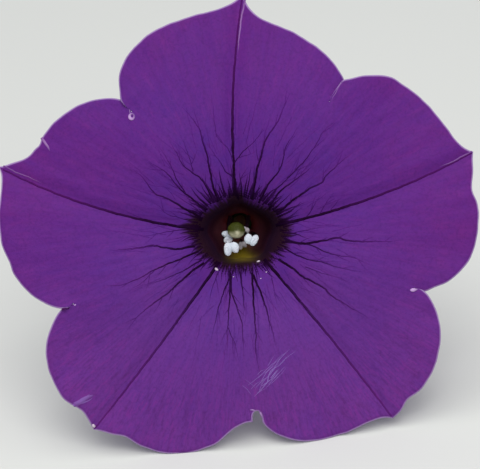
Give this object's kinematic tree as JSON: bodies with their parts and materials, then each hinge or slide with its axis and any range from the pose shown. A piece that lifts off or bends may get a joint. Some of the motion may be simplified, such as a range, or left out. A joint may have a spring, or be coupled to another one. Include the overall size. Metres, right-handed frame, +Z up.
{
  "type": "petunia bloom",
  "caption": "Picked trumpet-shaped petunia flower with fused five-lobed petals, stamens and pistil in its throat, green calyx and short stalk, lying on its side.",
  "frame": {"origin": "on the surface that the bloom lies on, below the middle of its bounding box", "axes": "+Z up from the surface; +Y from the open face towards the cut end of the stalk; +X to the right as one looks at the face. The face looks towards -Y and up"},
  "size_m": [0.0702, 0.0748, 0.0602],
  "materials": {
    "petal": "velvety violet-purple petal with dark veins and a near-black throat",
    "sepal": "matt green sepal with fine glandular hairs",
    "stalk": "matt light green stalk with fine glandular hairs",
    "pistil": "moist dark green stigma on a pale green style",
    "stamen": "powdery bluish-white anther on a pale thread"
  },
  "bodies": {
    "root": {"corolla": "petal", "calyx": "sepal", "stalk": "stalk", "pistil": "pistil", "stamen_1": "stamen", "stamen_2": "stamen", "stamen_3": "stamen", "stamen_4": "stamen", "stamen_5": "stamen"}
  },
  "joints": []
}
